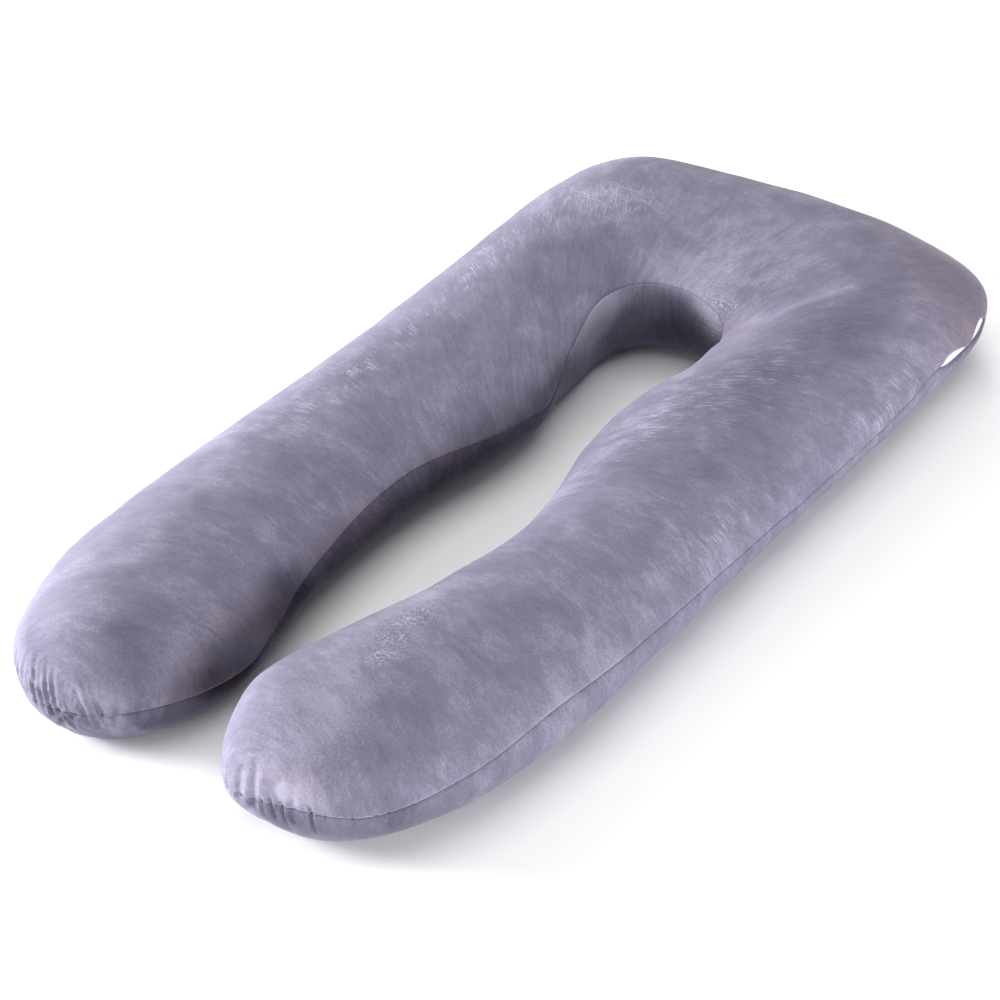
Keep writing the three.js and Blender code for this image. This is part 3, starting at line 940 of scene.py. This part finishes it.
def velvet():
    """Short-pile polyester velvet, dyed grey lavender. Its pile is 1 to 2 mm long and stands nearly
    upright: it scatters light at grazing angles, so edges glow, and it looks lighter or darker the way
    it was last brushed, in clouds a hand across and in fine streaks across the tube. Painted light and
    shade are added to its colour as well: lighter tops and rims, darker inner walls and arch, a painted
    highlight along the outer seam and a warm tint in the shade."""
    material, tree = new_material("short_pile_velvet")
    laid_on = {"body": add_node(tree, "ShaderNodeTexCoord").outputs["Object"],
               "cloth": add_node(tree, "ShaderNodeUVMap", uv_map="cloth").outputs["UV"]}
    value = {title: add_node(tree, "ShaderNodeAttribute", attribute_name=title).outputs["Fac"]
             for title in painted}
    for noise in NOISES:
        per_feature = tuple(1 / (size * MM) for size in noise.size)
        spread = add_node(tree, "ShaderNodeVectorMath", {0: laid_on[noise.laid_on], 1: per_feature},
                          operation="MULTIPLY")
        value[noise.name] = add_node(tree, "ShaderNodeTexNoise", {
            "Vector": spread.outputs[0], "Scale": 1.0, "Detail": noise.detail, "Roughness": 0.57,
            "Distortion": noise.distortion}).outputs["Fac"]
    for cut in CUTS:
        value[cut.name] = add_node(tree, "ShaderNodeMapRange", {
            "Value": value[cut.source], "From Min": cut.low, "From Max": cut.high},
            interpolation_type="SMOOTHSTEP").outputs[0]
    for name, parts in PRODUCTS.items():
        value[name] = 1.0
        for part in parts:
            value[name] = add_node(tree, "ShaderNodeMath", {0: value[name], 1: value[part]},
                                   operation="MULTIPLY").outputs[0]
    for name, terms in (("tone", TONE), ("relief", RELIEF)):
        value[name] = 0.0
        for term, amount in terms.items():
            value[name] = add_node(tree, "ShaderNodeMath", {0: value[term], 1: amount, 2: value[name]},
                                   operation="MULTIPLY_ADD").outputs[0]
    shade = add_node(tree, "ShaderNodeMapRange", {
        "Value": value["tone"], "From Min": DARKEST, "From Max": LIGHTEST})
    colour = add_node(tree, "ShaderNodeValToRGB", {"Fac": shade.outputs[0]})
    ramp = colour.color_ramp
    # The darkest colours serve the painted shade on the inner walls and in the arch.
    ramp.elements[0].color = linear("#262129")
    ramp.elements[1].color = linear("#9a96a9")
    for position, tint in ((0.333, "#4b4758"), (0.667, "#6d697b")):
        ramp.elements.new(position).color = linear(tint)
    rosy = add_node(tree, "ShaderNodeMix", {0: 1.0, 6: colour.outputs["Color"], 7: linear("#ffe6d2")},
                    data_type="RGBA", blend_type="MULTIPLY")
    warm = add_node(tree, "ShaderNodeMix", {
        0: value["warmth"], 6: colour.outputs["Color"], 7: rosy.outputs[2]}, data_type="RGBA")
    bump = add_node(tree, "ShaderNodeBump", {
        "Height": value["relief"], "Distance": 0.0009, "Strength": 1.0})
    shader = add_node(tree, "ShaderNodeBsdfPrincipled", {
        "Base Color": warm.outputs[2], "Roughness": 0.95, "Specular IOR Level": 0.15,
        "Sheen Weight": 0.22, "Sheen Roughness": 0.35, "Sheen Tint": linear("#ece7fb"),
        "Normal": bump.outputs[0]})
    add_node(tree, "ShaderNodeOutputMaterial", {"Surface": shader.outputs[0]})
    return material


def cotton():
    """Plain-woven bleached cotton, as pillow casings are: matt and nearly white. Its threads are about
    0.4 mm apart, too fine to show, so the weave is drawn at six times that. A wave texture turns by 20
    radians a unit, so a scale of 130 sets its bands 2.4 mm apart."""
    material, tree = new_material("plain_woven_cotton")
    cloth = add_node(tree, "ShaderNodeUVMap", uv_map="cloth").outputs["UV"]
    threads = [add_node(tree, "ShaderNodeTexWave", {"Vector": cloth, "Scale": 130.0, "Distortion": 0.4},
                        bands_direction=direction).outputs["Fac"] for direction in ("X", "Y")]
    weave = add_node(tree, "ShaderNodeMath", {0: threads[0], 1: threads[1]},
                     operation="MAXIMUM").outputs[0]
    bump = add_node(tree, "ShaderNodeBump", {"Height": weave, "Distance": 0.0002, "Strength": 0.6})
    colour = add_node(tree, "ShaderNodeMix", {0: weave, 6: linear("#b0aeb8"), 7: linear("#d2d0d9")},
                      data_type="RGBA")
    shader = add_node(tree, "ShaderNodeBsdfPrincipled", {
        "Base Color": colour.outputs[2], "Roughness": 0.9, "Normal": bump.outputs[0]})
    add_node(tree, "ShaderNodeOutputMaterial", {"Surface": shader.outputs[0]})
    return material


pillow.data.materials.append(velvet())
inner_casing.data.materials.append(cotton())
for piece, node, finish in ((pillow, "velvet_pillow", "velvet"),
                            (inner_casing, "inner_casing", "white_cotton")):
    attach(piece, "root")
    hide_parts(node)

# ---- Stage ----


def white_floor():
    """White matt background paper, which takes soft shadows and gives no reflection."""
    material, tree = new_material("white_paper_floor")
    shader = add_node(tree, "ShaderNodeBsdfPrincipled", {
        "Base Color": linear("#ececed"), "Roughness": 0.95, "Specular IOR Level": 0.1})
    add_node(tree, "ShaderNodeOutputMaterial", {"Surface": shader.outputs[0]})
    return material


FLOOR = 40  # metres from the middle to each side
corners = [(-FLOOR, -FLOOR, 0), (FLOOR, -FLOOR, 0), (FLOOR, FLOOR, 0), (-FLOOR, FLOOR, 0)]
floor = make_mesh("floor", corners, [(0, 1, 2, 3)])
floor.data.materials.append(white_floor())

# White softboxes round the pillow, each turned to its middle, in metres and watts
Softbox = namedtuple("Softbox", "name position size power")
SOFTBOXES = table(Softbox,
    ("low_key_softbox", (-2.4, -1.8, 0.6), 1.2, 245),
    ("low_side_softbox", (3.0, 0, 0.5), 1.0, 98),
    ("rear_softbox", (-1.8, 2.4, 1.6), 1.6, 60),
    ("front_softbox", (0, -3.0, 0.6), 1.2, 39),
    ("overhead_softbox", (0, 0, 3.0), 3.0, 60),
)
MIDDLE = Vector((0, 0, 0.05))
for box in SOFTBOXES:
    lamp_data = bpy.data.lights.new(box.name, "AREA")
    lamp_data.size, lamp_data.energy = box.size, box.power
    lamp = bpy.data.objects.new(box.name, lamp_data)
    lamp.visible_camera = False
    lamp.location = box.position
    lamp.rotation_euler = (MIDDLE - Vector(box.position)).to_track_quat("-Z", "Y").to_euler()
    bpy.context.scene.collection.objects.link(lamp)

ROOM_LIGHT = 0.28  # white light from all round
world = bpy.data.worlds.new("studio")
world.use_nodes = True
background = world.node_tree.nodes["Background"]
background.inputs["Color"].default_value = (1, 1, 1, 1)
background.inputs["Strength"].default_value = ROOM_LIGHT
bpy.context.scene.world = world

# The camera looks at its aim from this far, over the right foot and down
AZIMUTH, ELEVATION = math.radians(37.5), math.radians(37.6)
DISTANCE, LENS = 2.975, 85
AIM = Vector((0.043, -0.119, 0.079)) + Vector(shift)
camera_data = bpy.data.cameras.new("camera")
camera_data.lens = LENS
camera = bpy.data.objects.new("camera", camera_data)
back = Vector((math.sin(AZIMUTH) * math.cos(ELEVATION), -math.cos(AZIMUTH) * math.cos(ELEVATION),
               math.sin(ELEVATION)))
camera.location = AIM + back * DISTANCE
camera.rotation_euler = back.to_track_quat("Z", "Y").to_euler()
bpy.context.scene.collection.objects.link(camera)
bpy.context.scene.camera = camera
bpy.context.scene.view_settings.view_transform = "Standard"
